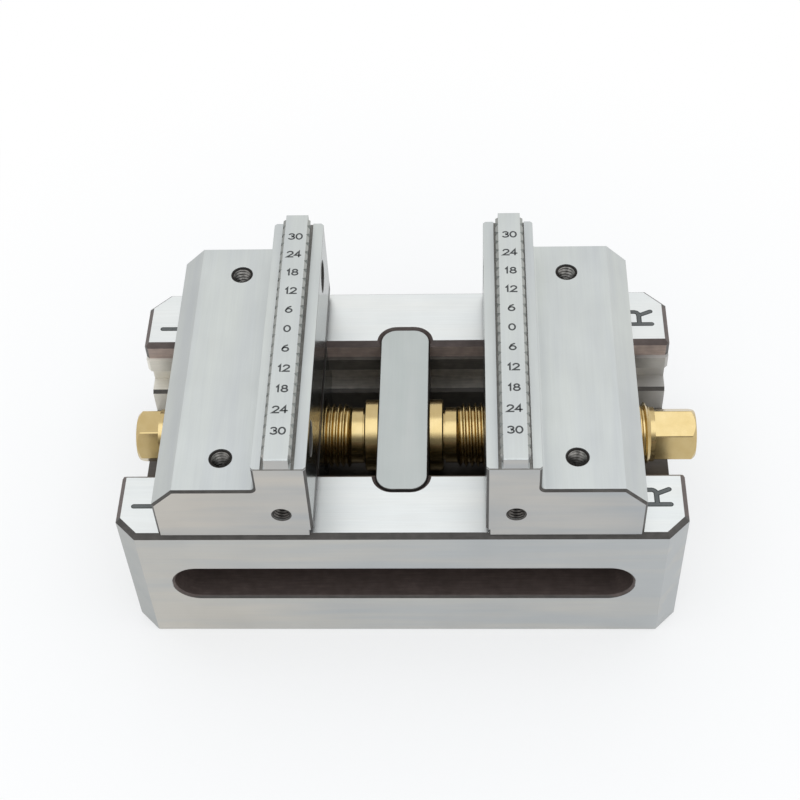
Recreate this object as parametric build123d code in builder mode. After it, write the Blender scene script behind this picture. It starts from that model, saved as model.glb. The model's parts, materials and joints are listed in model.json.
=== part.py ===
from build123d import *
import os
from math import cos, radians

# Self centering vise: two jaws run in one T-slot and are drawn together by one spindle.
# Millimetres. X runs along the spindle, Y away from the user and Z up.
# The origin is the middle of the underside.

# Base block
base_length = 134.0
base_width = 78.0
rail_height = 40.4
corner_chamfer = 5.0
top_chamfer = 1.2
foot_chamfer = 0.2

# Channel between the rails, from the top down: relief, guide lips, T-slot and trough
relief_half = 20.5
relief_depth = 4.9
guide_half = 19.5
guide_depth = 4.0
slot_half = 23.7
slot_height = 7.7
trough_half = 19.0
trough_depth = 7.8
trough_chamfer = 0.8
lip_end_chamfer = 0.8

# Clamping slot in the front face and in the back face
clamp_slot_length = 110.1
clamp_slot_height = 11.8
clamp_slot_depth = 9.5
clamp_slot_middle = 20.8
clamp_slot_chamfer = 0.6

# Jaws, measured outward from the face that looks at the other jaw, and up from the rails
jaw_opening = 39.7
jaw_width = 77.0
jaw_depth = 36.25
tower_thickness = 12.25
ledge_rise = 25.2
step_rise = 16.9
outer_chamfer = 5.2
step_fillet = 1.0
heel_notch_depth = 1.0
heel_notch_height = 2.0
tower_edge_chamfer = 0.6
jaw_edge_chamfer = 0.55

# Gripping bar on top of each jaw
bar_middle = 6.35
bar_half = 2.7
bar_rise = 3.1
bar_end_round = 0.3
tooth_reach = 0.65
tooth_drop = 0.45
tooth_foot = 0.3
tooth_pitch = 3.0
tooth_gap = 1.5
tooth_end_margin = 1.75
bar_groove_half = 3.75
bar_groove_depth = 0.4

# Holes in each jaw
step_hole_spacing = 58.0
step_hole_inset = 20.65
step_hole_diameter = 5.0
step_hole_depth = 14.0
end_hole_inset = 6.85
end_hole_rise = 8.0
end_hole_diameter = 4.2
end_hole_depth = 12.0
stop_bore_spacing = 51.0
stop_bore_drop = 5.6
stop_bore_diameter = 8.0
stop_bore_depth = 9.0
hole_mouth_chamfer = 0.25

# Jaw foot, which runs in the T-slot
slide_clearance = 0.05
flange_clearance = 0.1
flange_side_clearance = 0.3
foot_side_clearance = 0.3
foot_floor_clearance = 1.6

# Spindle, with a right hand thread at +X and a left hand thread at -X
spindle_drop = 11.5
thread_diameter = 16.0
thread_start = 12.95
thread_lead_in = 1.0
neck_diameter = 14.0
collar_diameter = 18.0
collar_thickness = 3.6
collar_edge_chamfer = 0.3
groove_diameter = 12.6
groove_width = 0.5
journal_diameter = 12.0
shoulder_diameter = 13.7
shoulder_length = 1.1
hex_across_flats = 12.0
right_hex_start = 61.95
right_hex_length = 10.2
left_hex_start = 61.3
left_hex_length = 5.7
hex_end_chamfer = 1.1
right_hex_turn = 14.2
left_hex_turn = 1.3
centre_drill_diameter = 3.0
centre_drill_depth = 1.5

# Running clearances of the spindle, on the radius or along it
thread_clearance = 0.05
journal_clearance = 0.05
collar_side_clearance = 0.05
collar_recess_clearance = 0.4
collar_recess_depth = 4.0

# Centre block, which straddles the spindle and holds it along X
block_thickness = 12.2
block_length = 50.6
block_corner_radius = 4.0
block_drop = 0.15
block_top_chamfer = 0.15
block_shoulder_clearance = 0.2
block_leg_clearance = 0.2
pocket_clearance = 0.12
pocket_chamfer = 0.9

# Screws that hold the centre block from below
screw_offset = 12.5
screw_diameter = 6.0
screw_thread_clearance = 0.02
screw_thread_length = 12.0
screw_tip_gap = 1.5
screw_passage_clearance = 0.3
screw_head_diameter = 10.0
screw_head_height = 6.0
screw_head_recess = 0.6
screw_head_clearance = 0.4
screw_socket_across = 5.0
screw_socket_depth = 3.0
screw_edge_chamfer = 0.4

# Places worked out from the sizes above
guide_top = rail_height - relief_depth
slot_top = guide_top - guide_depth
slot_floor = slot_top - slot_height
trough_floor = slot_floor - trough_depth
spindle_height = rail_height - spindle_drop
ledge_height = rail_height + ledge_rise
step_height = rail_height + step_rise
bar_height = ledge_height + bar_rise
end_hole_height = rail_height + end_hole_rise
stop_bore_height = ledge_height - stop_bore_drop
foot_bottom = trough_floor + foot_floor_clearance
jaw_inner = jaw_opening / 2
jaw_outer = jaw_inner + jaw_depth
jaw_half = jaw_width / 2
jaw_bottom = rail_height + slide_clearance
tower_outer = jaw_inner + tower_thickness
bar_x = jaw_inner + bar_middle
tooth_tip = bar_half + tooth_reach
tooth_row_half = jaw_half - tooth_end_margin
gap_count = int((2 * tooth_row_half - (tooth_pitch - tooth_gap)) / tooth_pitch)
flange_top = slot_top - flange_clearance
flange_bottom = slot_floor + flange_clearance
block_half = block_thickness / 2
pocket_rim = pocket_clearance + pocket_chamfer
block_top = rail_height - block_drop
collar_inner = block_half + collar_side_clearance
collar_outer = collar_inner + collar_thickness
hex_corner_radius = hex_across_flats / 2 / cos(radians(30))
right_hex_end = right_hex_start + right_hex_length
left_hex_end = left_hex_start + left_hex_length
screw_seat = screw_head_recess + screw_head_height
screw_tip = trough_floor + screw_thread_length


def both_sides(points):
    # Closes a half outline by repeating it, mirrored in its second axis
    return points + [(-across, along) for across, along in reversed(points)]


# Base block: channel with T-slot, pocket for the centre block, clamping slots, screw holes
channel_side = [
    (trough_half, trough_floor),
    (trough_half, slot_floor - trough_chamfer),
    (trough_half + trough_chamfer, slot_floor),
    (slot_half, slot_floor),
    (slot_half, slot_top),
    (guide_half, slot_top),
    (guide_half, guide_top),
    (relief_half, guide_top),
    (relief_half, rail_height - top_chamfer),
    (relief_half + top_chamfer, rail_height),
]

with BuildPart() as base_body:
    with BuildSketch():
        Rectangle(base_length, base_width)
        chamfer(vertices(), corner_chamfer)
    extrude(amount=rail_height)
    chamfer(faces().sort_by(Axis.Z)[-1].edges(), top_chamfer)
    chamfer(faces().sort_by(Axis.Z)[0].edges(), foot_chamfer)

    with BuildSketch(Plane.YZ.offset(-base_length / 2)):
        with BuildLine():
            Polyline(*both_sides(channel_side), close=True)
        make_face()
    extrude(amount=base_length, mode=Mode.SUBTRACT)
    for half, bottom, top in (
        (guide_half, slot_top, guide_top),
        (relief_half, guide_top, rail_height),
    ):
        with BuildSketch(Plane.XY.offset(bottom)):
            with GridLocations(base_length, 2 * half, 2, 2):
                RegularPolygon(lip_end_chamfer, 4)
        extrude(amount=top - bottom, mode=Mode.SUBTRACT)

    with BuildSketch(Plane.XY.offset(slot_floor)):
        RectangleRounded(
            block_thickness + 2 * pocket_clearance,
            block_length + 2 * pocket_clearance,
            block_corner_radius + pocket_clearance,
        )
    extrude(amount=rail_height - slot_floor, mode=Mode.SUBTRACT)
    with BuildSketch(Plane(origin=(0, 0, rail_height), z_dir=(0, 0, -1))):
        RectangleRounded(
            block_thickness + 2 * pocket_rim,
            block_length + 2 * pocket_rim,
            block_corner_radius + pocket_rim,
        )
    extrude(amount=pocket_chamfer, taper=45, mode=Mode.SUBTRACT)

    for side in (-1, 1):
        clamp_face = Plane(
            origin=(0, side * base_width / 2, clamp_slot_middle),
            x_dir=(1, 0, 0),
            z_dir=(0, side, 0),
        )
        with BuildSketch(clamp_face):
            SlotOverall(clamp_slot_length, clamp_slot_height)
        extrude(amount=-clamp_slot_depth, mode=Mode.SUBTRACT)
        slot_rim = edges().group_by(Axis.Y)[0 if side < 0 else -1].filter_by(
            lambda edge: abs(edge.center().Z - clamp_slot_middle) < clamp_slot_height
            and abs(edge.center().X) < clamp_slot_length / 2
        )
        chamfer(slot_rim, clamp_slot_chamfer)

    with Locations(
        Plane(origin=(0, -screw_offset, 0), z_dir=(0, 0, -1)),
        Plane(origin=(0, screw_offset, 0), z_dir=(0, 0, -1)),
    ):
        CounterBoreHole(
            radius=screw_diameter / 2 + screw_passage_clearance,
            counter_bore_radius=screw_head_diameter / 2 + screw_head_clearance,
            counter_bore_depth=screw_seat,
            depth=trough_floor,
        )
base_body.part.label = "base_body"

# Right jaw: tower with a gripping bar, low step, and a foot with T-flanges
bar_side = [
    (bar_groove_half, ledge_height),
    (bar_groove_half, ledge_height - bar_groove_depth),
    (bar_half + tooth_foot, ledge_height - bar_groove_depth),
    (tooth_tip, bar_height - tooth_drop),
    (bar_half, bar_height),
]
bar_outline = [(bar_x + across, height) for across, height in reversed(both_sides(bar_side))]
jaw_outline = [
    (jaw_inner + heel_notch_depth, jaw_bottom),
    (jaw_inner + heel_notch_depth, jaw_bottom + heel_notch_height),
    (jaw_inner, jaw_bottom + heel_notch_height),
    (jaw_inner, ledge_height),
    *bar_outline,
    (tower_outer, ledge_height),
    (tower_outer, step_height),
    (jaw_outer - outer_chamfer, step_height),
    (jaw_outer, step_height - outer_chamfer),
    (jaw_outer, jaw_bottom),
]
foot_side = [
    (trough_half - foot_side_clearance, foot_bottom),
    (trough_half - foot_side_clearance, flange_bottom),
    (slot_half - flange_side_clearance, flange_bottom),
    (slot_half - flange_side_clearance, flange_top),
    (guide_half - slide_clearance, flange_top),
    (guide_half - slide_clearance, jaw_bottom),
]

with BuildPart() as right_jaw:
    with BuildSketch(Plane.XZ):
        with BuildLine():
            Polyline(*jaw_outline, close=True)
        make_face()
    extrude(amount=jaw_half, both=True)
    step_corner = edges().filter_by(Axis.Y).filter_by(
        lambda edge: abs(edge.center().X - tower_outer) < slide_clearance
        and abs(edge.center().Z - step_height) < slide_clearance
    )
    fillet(step_corner, step_fillet)

    end_edges = edges().filter_by(lambda edge: abs(edge.center().Y) > jaw_half - slide_clearance)
    inner_corners = end_edges.filter_by(Axis.Z).filter_by(
        lambda edge: abs(edge.center().X - jaw_inner) < slide_clearance
    )
    outer_corners = end_edges.filter_by(
        lambda edge: edge.center().X > tower_outer - slide_clearance
        and jaw_bottom + slide_clearance < edge.center().Z < ledge_height - slide_clearance
    )
    chamfer(outer_corners, jaw_edge_chamfer)
    chamfer(inner_corners, tower_edge_chamfer)
    bar_ends = edges().group_by(Axis.Z)[-1].filter_by(Axis.X)
    fillet(bar_ends, bar_end_round)

    with BuildSketch(Plane.XY.offset(ledge_height)):
        with Locations((bar_x, 0)):
            with GridLocations(2 * tooth_tip, tooth_pitch, 2, gap_count):
                Rectangle(tooth_gap * cos(radians(45)), tooth_gap * cos(radians(45)), rotation=45)
            with GridLocations(2 * tooth_tip, 2 * jaw_half, 2, 2):
                Rectangle(2 * tooth_reach, 2 * tooth_end_margin)
    extrude(amount=bar_height - ledge_height, mode=Mode.SUBTRACT)

    with BuildSketch(Plane.YZ.offset(jaw_inner)):
        with BuildLine():
            Polyline(*both_sides(foot_side), close=True)
        make_face()
    extrude(amount=jaw_depth)
    with BuildSketch(Plane.YZ.offset(jaw_inner)):
        with Locations((0, spindle_height)):
            Circle(thread_diameter / 2 + thread_clearance)
    extrude(amount=jaw_depth, mode=Mode.SUBTRACT)
    with BuildSketch(Plane.YZ.offset(jaw_inner)):
        with Locations((0, spindle_height)):
            Circle(collar_diameter / 2 + collar_recess_clearance)
    extrude(amount=collar_recess_depth, mode=Mode.SUBTRACT)

    with Locations((jaw_inner + step_hole_inset, 0, step_height)):
        with GridLocations(step_hole_inset, step_hole_spacing, 1, 2):
            CounterSinkHole(
                radius=step_hole_diameter / 2,
                counter_sink_radius=step_hole_diameter / 2 + hole_mouth_chamfer,
                depth=step_hole_depth,
                counter_sink_angle=90,
            )
    end_holes = [
        Plane(
            origin=(jaw_inner + end_hole_inset, side * jaw_half, end_hole_height),
            x_dir=(1, 0, 0),
            z_dir=(0, side, 0),
        )
        for side in (-1, 1)
    ]
    with Locations(*end_holes):
        CounterSinkHole(
            radius=end_hole_diameter / 2,
            counter_sink_radius=end_hole_diameter / 2 + hole_mouth_chamfer,
            depth=end_hole_depth,
            counter_sink_angle=90,
        )
    stop_bores = [
        Plane(
            origin=(jaw_inner, side * stop_bore_spacing / 2, stop_bore_height),
            x_dir=(0, 1, 0),
            z_dir=(-1, 0, 0),
        )
        for side in (-1, 1)
    ]
    with Locations(*stop_bores):
        CounterSinkHole(
            radius=stop_bore_diameter / 2,
            counter_sink_radius=stop_bore_diameter / 2 + hole_mouth_chamfer,
            depth=stop_bore_depth,
            counter_sink_angle=90,
        )
right_jaw.part.label = "right_jaw"

# Left jaw: the mirror image of the right one
with BuildPart() as left_jaw:
    mirror(right_jaw.part, about=Plane.YZ)
left_jaw.part.label = "left_jaw"

# Spindle: journal, two collars, two threaded ends and two hexagon drives
spindle_axis = Axis((0, 0, spindle_height), (1, 0, 0))
spindle_plane = Plane(origin=(0, 0, spindle_height), x_dir=(1, 0, 0), z_dir=(0, -1, 0))


def turned_end(hex_start):
    # One end of the turned shape, from the journal out to where the hexagon starts
    thread_end = hex_start - shoulder_length
    return [
        (collar_inner, journal_diameter / 2),
        (collar_inner, collar_diameter / 2 - collar_edge_chamfer),
        (collar_inner + collar_edge_chamfer, collar_diameter / 2),
        (collar_outer - collar_edge_chamfer, collar_diameter / 2),
        (collar_outer, collar_diameter / 2 - collar_edge_chamfer),
        (collar_outer, groove_diameter / 2),
        (collar_outer + groove_width, groove_diameter / 2),
        (collar_outer + groove_width, neck_diameter / 2),
        (thread_start, neck_diameter / 2),
        (thread_start + thread_lead_in, thread_diameter / 2),
        (thread_end - thread_lead_in, thread_diameter / 2),
        (thread_end, shoulder_diameter / 2),
        (hex_start, shoulder_diameter / 2),
        (hex_start, 0),
    ]


left_end = [(-along, radius) for along, radius in reversed(turned_end(left_hex_start))]
turned_outline = turned_end(right_hex_start) + left_end

with BuildPart() as spindle:
    with BuildSketch(spindle_plane):
        with BuildLine():
            Polyline(*turned_outline, close=True)
        make_face()
    revolve(axis=spindle_axis)

    with BuildSketch(Plane.YZ.offset(right_hex_start)):
        with Locations((0, spindle_height)):
            RegularPolygon(hex_corner_radius, 6, rotation=right_hex_turn)
    extrude(amount=right_hex_length)
    with BuildSketch(Plane.YZ.offset(-left_hex_end)):
        with Locations((0, spindle_height)):
            RegularPolygon(hex_corner_radius, 6, rotation=left_hex_turn)
    extrude(amount=left_hex_length)

    for end, inward in ((right_hex_end, -1), (-left_hex_end, 1)):
        with BuildSketch(spindle_plane):
            with BuildLine():
                Polyline(
                    (end + inward * hex_end_chamfer, hex_corner_radius),
                    (end, hex_corner_radius - hex_end_chamfer),
                    (end, hex_corner_radius + hex_end_chamfer),
                    (end + inward * hex_end_chamfer, hex_corner_radius + hex_end_chamfer),
                    close=True,
                )
            make_face()
            with BuildLine():
                Polyline(
                    (end, 0),
                    (end, centre_drill_diameter / 2),
                    (end + inward * centre_drill_depth, 0),
                    close=True,
                )
            make_face()
        revolve(axis=spindle_axis, mode=Mode.SUBTRACT)
spindle.part.label = "spindle"

# Centre block: legs on the trough floor, a fork over the journal, ends in the rail pockets
with BuildPart() as centre_block:
    with BuildSketch(Plane.XY.offset(slot_floor + block_shoulder_clearance)):
        RectangleRounded(block_thickness, block_length, block_corner_radius)
    extrude(amount=block_top - slot_floor - block_shoulder_clearance)
    chamfer(faces().sort_by(Axis.Z)[-1].edges(), block_top_chamfer)
    with BuildSketch(Plane.XY.offset(trough_floor)):
        Rectangle(block_thickness, 2 * (trough_half - block_leg_clearance))
    extrude(amount=slot_floor + block_shoulder_clearance - trough_floor)

    with BuildSketch(Plane.YZ.offset(-block_half)):
        with Locations((0, spindle_height)):
            Circle(journal_diameter / 2 + journal_clearance)
            Rectangle(
                journal_diameter + 2 * journal_clearance,
                spindle_height - trough_floor,
                align=(Align.CENTER, Align.MAX),
            )
    extrude(amount=block_thickness, mode=Mode.SUBTRACT)

    with Locations(
        Plane(origin=(0, -screw_offset, trough_floor), z_dir=(0, 0, -1)),
        Plane(origin=(0, screw_offset, trough_floor), z_dir=(0, 0, -1)),
    ):
        Hole(screw_diameter / 2 + screw_thread_clearance, screw_thread_length + screw_tip_gap)
centre_block.part.label = "centre_block"

# Socket head screws that pull the centre block down from the underside
with BuildPart() as front_block_screw:
    with BuildSketch(Plane.XY.offset(screw_head_recess)):
        with Locations((0, -screw_offset)):
            Circle(screw_head_diameter / 2)
    extrude(amount=screw_head_height)
    chamfer(edges().group_by(Axis.Z)[0], screw_edge_chamfer)
    with BuildSketch(Plane.XY.offset(screw_seat)):
        with Locations((0, -screw_offset)):
            Circle(screw_diameter / 2)
    extrude(amount=screw_tip - screw_seat)
    chamfer(edges().group_by(Axis.Z)[-1], screw_edge_chamfer)
    with BuildSketch(Plane.XY.offset(screw_head_recess)):
        with Locations((0, -screw_offset)):
            RegularPolygon(screw_socket_across / 2, 6, major_radius=False)
    extrude(amount=screw_socket_depth, mode=Mode.SUBTRACT)
front_block_screw.part.label = "front_block_screw"

with BuildPart() as rear_block_screw:
    mirror(front_block_screw.part, about=Plane.XZ)
rear_block_screw.part.label = "rear_block_screw"

os.makedirs("parts", exist_ok=True)
export_step(base_body.part, "parts/base_body.step")
export_step(right_jaw.part, "parts/right_jaw.step")
export_step(left_jaw.part, "parts/left_jaw.step")
export_step(spindle.part, "parts/spindle.step")
export_step(centre_block.part, "parts/centre_block.step")
export_step(front_block_screw.part, "parts/front_block_screw.step")
export_step(rear_block_screw.part, "parts/rear_block_screw.step")
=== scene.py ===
import json
import math

import bmesh
import bpy
from mathutils import Matrix, Vector


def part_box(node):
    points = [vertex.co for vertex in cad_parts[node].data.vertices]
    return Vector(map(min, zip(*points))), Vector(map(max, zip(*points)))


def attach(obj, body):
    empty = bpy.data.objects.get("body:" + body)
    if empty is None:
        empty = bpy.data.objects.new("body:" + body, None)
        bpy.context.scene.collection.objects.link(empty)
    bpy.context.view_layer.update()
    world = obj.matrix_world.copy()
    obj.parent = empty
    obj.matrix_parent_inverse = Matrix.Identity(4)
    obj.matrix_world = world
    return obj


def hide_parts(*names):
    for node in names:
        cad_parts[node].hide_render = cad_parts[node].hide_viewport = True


# Self centering vise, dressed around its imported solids.
# Lengths are metres in the vise's own frame: +X along the spindle, +Z up, origin under the base.
# Names that end in _mm or _MM, and the limits of masks, are millimetres in the same frame.

MM = 0.001
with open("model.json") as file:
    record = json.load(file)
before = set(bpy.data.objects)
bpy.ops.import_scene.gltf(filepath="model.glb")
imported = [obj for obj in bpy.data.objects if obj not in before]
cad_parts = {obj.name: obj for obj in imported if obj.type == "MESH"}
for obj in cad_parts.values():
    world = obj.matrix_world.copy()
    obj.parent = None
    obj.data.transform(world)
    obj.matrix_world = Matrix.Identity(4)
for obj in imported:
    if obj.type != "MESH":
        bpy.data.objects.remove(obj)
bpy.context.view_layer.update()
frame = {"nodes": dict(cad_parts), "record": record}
mounts = {mount["name"]: mount for mount in frame["record"]["mounts"]}

base_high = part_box("base_body")[1]
jaw_low, jaw_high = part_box("right_jaw")
spindle_low, spindle_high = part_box("spindle")
block_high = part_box("centre_block")[1]

rail_top = base_high.z
spindle_z = (spindle_low.z + spindle_high.z) / 2
bar_x = 26.2 * MM


# Nodes and masks

def linear(code):
    """An sRGB hex colour as linear red, green, blue and alpha."""
    parts = [int(code[i : i + 2], 16) / 255 for i in (1, 3, 5)]
    return [c / 12.92 if c <= 0.04045 else ((c + 0.055) / 1.055) ** 2.4 for c in parts] + [1.0]


def add(tree, kind, inputs=None, **settings):
    """Adds a node, sets it and links or fills its inputs."""
    made = tree.nodes.new(kind)
    for name, value in settings.items():
        setattr(made, name, value)
    for name, value in (inputs or {}).items():
        if isinstance(value, bpy.types.NodeSocket):
            tree.links.new(value, made.inputs[name])
        else:
            made.inputs[name].default_value = value
    return made


def new_material(name):
    material = bpy.data.materials.new(name)
    material.use_nodes = True
    material.node_tree.nodes.clear()
    return material, material.node_tree


def all_of(tree, *masks):
    total = masks[0]
    for mask in masks[1:]:
        total = add(tree, "ShaderNodeMath", {0: total, 1: mask}, operation="MULTIPLY").outputs[0]
    return total


def any_of(tree, *masks):
    total = masks[0]
    for mask in masks[1:]:
        total = add(tree, "ShaderNodeMath", {0: total, 1: mask}, operation="MAXIMUM").outputs[0]
    return total


def point_in_mm(tree):
    place = add(tree, "ShaderNodeTexCoord").outputs["Object"]
    return add(tree, "ShaderNodeVectorMath", {0: place, "Scale": 1 / MM}, operation="SCALE").outputs[0]


def surface_facts(tree, point):
    """What a mask can ask about the surface at a point.

    x, y, z: distance from the frame's three planes, the same on both sides. place_*: the signed place.
    facing_*: 1 where the face is square to that axis, 0 where it runs along it. normal_*: with its sign.
    plane: distance of the face's own plane from the origin."""
    normal = add(tree, "ShaderNodeTexCoord").outputs["Normal"]
    size = add(tree, "ShaderNodeVectorMath", {0: point}, operation="ABSOLUTE").outputs[0]
    facing = add(tree, "ShaderNodeVectorMath", {0: normal}, operation="ABSOLUTE").outputs[0]
    plane = add(tree, "ShaderNodeVectorMath", {0: size, 1: facing}, operation="DOT_PRODUCT")
    facts = {"plane": plane.outputs["Value"]}
    for prefix, vector in (("", size), ("place_", point), ("facing_", facing), ("normal_", normal)):
        parts = add(tree, "ShaderNodeSeparateXYZ", {0: vector})
        for axis in "XYZ":
            facts[prefix + axis.lower()] = parts.outputs[axis]
    return facts


def zone(tree, facts, **limits):
    """A mask: 1 where every named fact lies between its two limits."""
    masks = []
    for fact, (low, high) in limits.items():
        middle, half = (low + high) / 2, (high - low) / 2
        mask = add(tree, "ShaderNodeMath", {0: facts[fact], 1: middle, 2: half}, operation="COMPARE")
        masks.append(mask.outputs[0])
    return all_of(tree, *masks)


def layered(tree, base, *layers):
    """A shader with others laid over it in turn, each where its mask is 1."""
    for mask, shader in layers:
        base = add(tree, "ShaderNodeMixShader", {0: mask, 1: base, 2: shader}).outputs[0]
    return base


# The stretch of the channel over which its walls come into the light, from the middle outwards
MOUTH_MM = (56.0, 64.0)

# Limits for the facing facts
SQUARE = (0.9, 1.1)
SLOPING = (0.3, 0.9)
ALONG = (-0.1, 0.1)


# Steel surfaces

# Colours are sRGB. Greys come in pairs, between which a ground face changes from streak to streak.
# Each face has its own grey as painted light and shade: lightest on the rail tops, a little darker on
# the jaw and block tops, darker on the sides and fronts, darkest on the base's left end, the bar flanks
# and the jaw's inner face
RAIL_TOP = ("#e8eae8", "#e3e7e7")
BASE_SIDE = ("#c7c4bd", "#b7babb")
BASE_LEFT_END = ("#b0b1ae", "#a8abaa")
JAW_TOP = ("#cdd1ce", "#c3c7c8")
JAW_FRONT = ("#c6c2bb", "#b0b3b5")
JAW_INNER_FACE = ("#8f9492", "#8a8f90")
BAR_FLANK = ("#a9aba7", "#a0a29f")
BLOCK_TOP = ("#c4c8c6", "#bcc2c0")

# Skins of heat treatment where no grinding wheel reached, and darker or paler colours on the same shader
# that paint shade and light into edges, recesses and the channel
# Dark edges: the real milled skin of chamfers and unground faces, on the chamfers also painted
# reflection of the dark front of the room, and on the jaws' feet and stop bores painted shade
EDGE_SKIN_AND_SHADE = "#4d4a47"
SLOT_SKIN = "#594e4a"
RELIEF_SKIN = "#a8978f"
# Channel walls between the mouths: a dark grey as painted shade
GUIDE_WALL_SHADED = "#625e58"
# A paler grey on the undercut below the guide lips
UNDERCUT_GREY = "#aea89f"
# Channel walls at the mouths: pale greys as painted light and reflection, the left mouth lighter than
# the right
LEFT_MOUTH_LIGHT = "#ebe6da"
RIGHT_MOUTH_LIGHT = "#b7b4af"
# Painted shade on the level faces low in the channel and in its front half, under the spindle and the
# front wall
SHADED_FLOOR = "#544e48"
# Painted shade in the groove round the foot of each gripping bar
BAR_GROOVE_SHADE = "#7d7b76"
DEEP_SHADE = "#2b2927"

# Painted shade in the depth of a tapped hole and a painted highlight on the flanks that look up
STEP_THREAD = ("#2c2a28", "#a3a19d")
END_THREAD = ("#3b3937", "#6b6865")

GOLD_COATING = ("#bda570", "#cdb98a")
BLACK_OXIDE = "#3a3a3d"
NUMBER_PAINT = "#3b3d3d"
# Painted shade on the walls of the engraved letters, as a dark edge round the grey in their floor
LETTER_EDGE_SHADE = "#2e3231"
LETTER_FLOOR_PAINT = "#5d605f"

# Length and spacing of tool lines, in millimetres. Real ones are a few hundredths of a millimetre
# apart, and are drawn coarser so that they show.
GRINDING_LINES_MM = (14.0, 0.35)
GRINDING_STREAKS_MM = (60.0, 6.0)
MILLING_LINES_MM = (6.0, 0.5)
TURNING_LINES_MM = (30.0, 0.3)

# Over this length a face that leans goes from its first grey towards its second, which paints a warmer
# light on the left and a cooler one on the right
LEAN_SPAN_MM = 60.0

# Sharp edges are broken by hand
BROKEN_EDGE = 0.12 * MM
LINE_DEPTH = 0.05 * MM
SKIN_DEPTH = 0.1 * MM

# Sizes of the soft spots that a hand, oil or the furnace leaves
CLOUD_MM = 11.1
SKIN_SPOT_MM = 2.22
COATING_SPOT_MM = 2.86
OIL_SPOT_MM = 0.833
PAINT_GRAIN_MM = 0.4
OXIDE_GRAIN_MM = 0.333


def tool_lines(tree, point, along, length_and_spacing, detail=3.0):
    """Lines left by a wheel, mill or lathe tool: long along one axis and fine across it."""
    length, spacing = length_and_spacing
    stretch = [1 / spacing] * 3
    stretch["XYZ".index(along)] = 1 / length
    drawn = add(tree, "ShaderNodeVectorMath", {0: point, 1: stretch}, operation="MULTIPLY").outputs[0]
    return add(
        tree, "ShaderNodeTexNoise", {"Vector": drawn, "Scale": 1.0, "Detail": detail, "Roughness": 0.6}
    ).outputs["Fac"]


def ground_face(tree, point, greys, roughness, along, line_depth=0.05, lean=0.0):
    """Ground hardened steel: bright metal with fine straight lines and slow changes between two greys.

    lean moves the change along X, so that the second grey prevails towards the right end; with a warm
    first grey and a cool second one this is painted light, warmer on the left and cooler on the right."""
    lines = tool_lines(tree, point, along, GRINDING_LINES_MM)
    streaks = tool_lines(tree, point, along, GRINDING_STREAKS_MM, detail=2.0)
    sideways = add(tree, "ShaderNodeSeparateXYZ", {0: point}).outputs["X"]
    leaning = add(
        tree,
        "ShaderNodeMath",
        {0: sideways, 1: lean / LEAN_SPAN_MM, 2: streaks},
        operation="MULTIPLY_ADD",
    ).outputs[0]
    share = add(
        tree, "ShaderNodeMapRange", {"Value": leaning, "From Min": 0.3, "From Max": 0.7}
    ).outputs["Result"]
    tint = add(
        tree, "ShaderNodeMix", {0: share, 6: linear(greys[0]), 7: linear(greys[1])}, data_type="RGBA"
    ).outputs[2]
    clouds = add(
        tree, "ShaderNodeTexNoise", {"Vector": point, "Scale": 1 / CLOUD_MM, "Detail": 2.0}
    ).outputs["Fac"]
    line_shade = add(
        tree, "ShaderNodeMapRange", {"Value": lines, "To Min": 0.93, "To Max": 1.05}
    ).outputs["Result"]
    cloud_shade = add(
        tree, "ShaderNodeMapRange", {"Value": clouds, "To Min": 0.94, "To Max": 1.05}
    ).outputs["Result"]
    shade = add(
        tree, "ShaderNodeMath", {0: line_shade, 1: cloud_shade}, operation="MULTIPLY"
    ).outputs[0]
    tinted = add(tree, "ShaderNodeVectorMath", {0: tint, "Scale": shade}, operation="SCALE").outputs[0]
    rough = add(
        tree,
        "ShaderNodeMapRange",
        {"Value": lines, "To Min": roughness - 0.05, "To Max": roughness + 0.07},
    ).outputs["Result"]
    rounded = add(tree, "ShaderNodeBevel", {"Radius": BROKEN_EDGE}, samples=4).outputs[0]
    relief = add(
        tree,
        "ShaderNodeBump",
        {"Height": lines, "Strength": line_depth, "Distance": LINE_DEPTH, "Normal": rounded},
    ).outputs[0]
    return add(
        tree,
        "ShaderNodeBsdfPrincipled",
        {"Base Color": tinted, "Metallic": 1.0, "Roughness": rough, "Normal": relief},
    ).outputs[0]


def skinned_or_shaded_face(tree, point, colour, roughness, contrast=0.4):
    """Milled steel with the dull, spotted skin of its heat treatment; given darker or paler colours it
    also paints shade and light.
    """
    lines = tool_lines(tree, point, "X", MILLING_LINES_MM)
    spots = add(
        tree, "ShaderNodeTexNoise", {"Vector": point, "Scale": 1 / SKIN_SPOT_MM, "Detail": 4.0}
    ).outputs["Fac"]
    mixed = add(tree, "ShaderNodeMath", {0: lines, 1: spots}, operation="MULTIPLY").outputs[0]
    shade = add(
        tree,
        "ShaderNodeMapRange",
        {"Value": mixed, "From Max": 0.5, "To Min": 1 - contrast, "To Max": 1 + contrast},
    ).outputs["Result"]
    tinted = add(
        tree, "ShaderNodeVectorMath", {0: linear(colour)[:3], "Scale": shade}, operation="SCALE"
    ).outputs[0]
    relief = add(
        tree, "ShaderNodeBump", {"Height": mixed, "Strength": 0.25, "Distance": SKIN_DEPTH}
    ).outputs[0]
    return add(
        tree,
        "ShaderNodeBsdfPrincipled",
        {"Base Color": tinted, "Metallic": 0.2, "Roughness": roughness, "Normal": relief},
    ).outputs[0]


# Materials

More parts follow.
